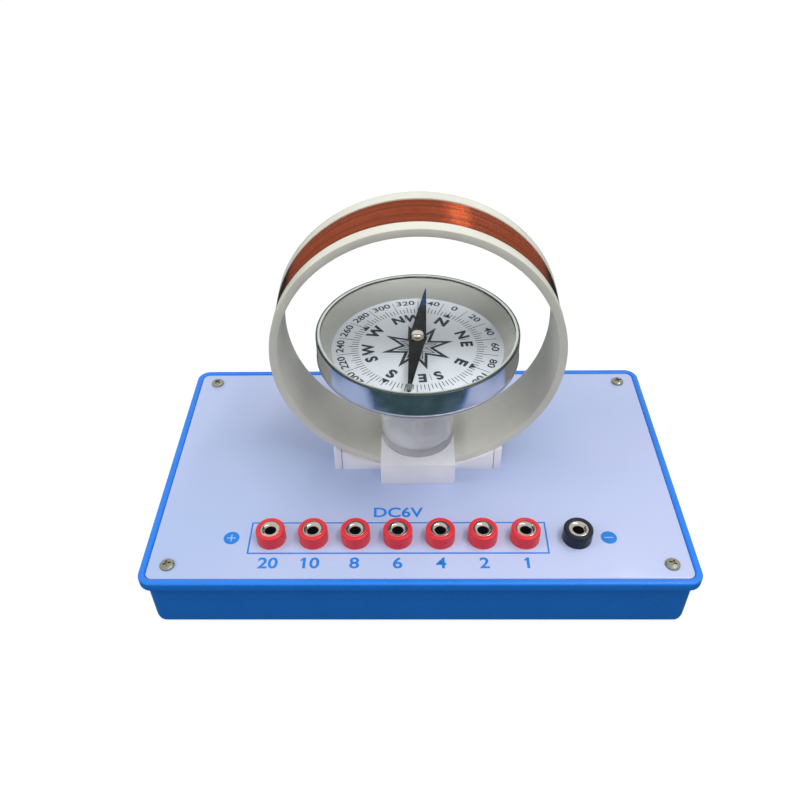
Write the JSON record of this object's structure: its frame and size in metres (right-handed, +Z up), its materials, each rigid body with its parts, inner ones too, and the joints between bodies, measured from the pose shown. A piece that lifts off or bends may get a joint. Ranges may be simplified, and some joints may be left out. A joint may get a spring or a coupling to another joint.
{
  "type": "tangent galvanometer",
  "caption": "Classroom tangent galvanometer: an upright wire hoop on a socket base, with a turning compass on a clear stand at the hoop's centre.",
  "frame": {"origin": "middle of the base tray's underside, on the bench", "axes": "+X to the right along the row of sockets, +Y to the back along the hoop's axis, +Z up"},
  "size_m": [0.225, 0.134, 0.1499],
  "materials": {
    "tray_blue": "moulded plastic, satin gloss",
    "panel_pale": "printed plastic sheet, smooth",
    "screw_nickel": "nickel plated",
    "collar_red": "glossy",
    "collar_black": "glossy",
    "sleeve_nickel": "nickel plated brass",
    "bush_white": "moulded",
    "tag_brass": "tinned brass",
    "nut_brass": "turned brass",
    "hoop_cream": "turned plastic, satin",
    "winding_copper": "enamelled copper",
    "block_white": "white acrylic",
    "stand_clear": "clear acrylic",
    "case_aluminium": "polished",
    "dial_white": "printed card",
    "surround_grey": "satin",
    "cover_clear": "clear glass",
    "clip_grey": "satin",
    "needle_steel": "black and blue enamel",
    "hub_nickel": "turned and plated",
    "pin_steel": "ground",
    "jewel_red": "polished",
    "lead_cover": "insulated wire"
  },
  "bodies": {
    "base": {"base_tray": "tray_blue", "top_panel": "panel_pale", "panel_screws": "screw_nickel", "socket_bushes": "bush_white", "solder_tags": "tag_brass", "socket_nuts": "nut_brass", "coil_former": "hoop_cream", "coil_winding": "winding_copper", "tap_leads": "lead_cover", "compass_bridge": "block_white", "bridge_screws": "screw_nickel", "cradle_end_left": "block_white", "cradle_end_right": "block_white", "cradle_front_left": "block_white", "cradle_front_right": "block_white", "cradle_back_left": "block_white", "cradle_back_right": "block_white", "compass_stand": "stand_clear", "stand_screw": "screw_nickel", "socket_collar_20": "collar_red", "socket_sleeve_20": "sleeve_nickel", "socket_collar_10": "collar_red", "socket_sleeve_10": "sleeve_nickel", "socket_collar_8": "collar_red", "socket_sleeve_8": "sleeve_nickel", "socket_collar_6": "collar_red", "socket_sleeve_6": "sleeve_nickel", "socket_collar_4": "collar_red", "socket_sleeve_4": "sleeve_nickel", "socket_collar_2": "collar_red", "socket_sleeve_2": "sleeve_nickel", "socket_collar_1": "collar_red", "socket_sleeve_1": "sleeve_nickel", "socket_collar_common": "collar_black", "socket_sleeve_common": "sleeve_nickel"},
    "compass": {"compass_case": "case_aluminium", "dial_card": "dial_white", "dial_surround": "surround_grey", "cover_glass": "cover_clear", "glass_clip": "clip_grey", "pivot_pin": "pin_steel"},
    "needle": {"needle": "needle_steel", "needle_hub": "hub_nickel", "jewel_cup": "jewel_red"}
  },
  "joints": [
    {"name": "compass_turn", "type": "hinge", "parent": "base", "child": "compass", "pos_m": [0, 0.0123, 0.0841], "axis": [0, 0, 1], "continuous": true},
    {"name": "needle_spin", "type": "hinge", "parent": "compass", "child": "needle", "pos_m": [0, 0.0123, 0.0921], "axis": [0, 0, 1], "continuous": true}
  ]
}
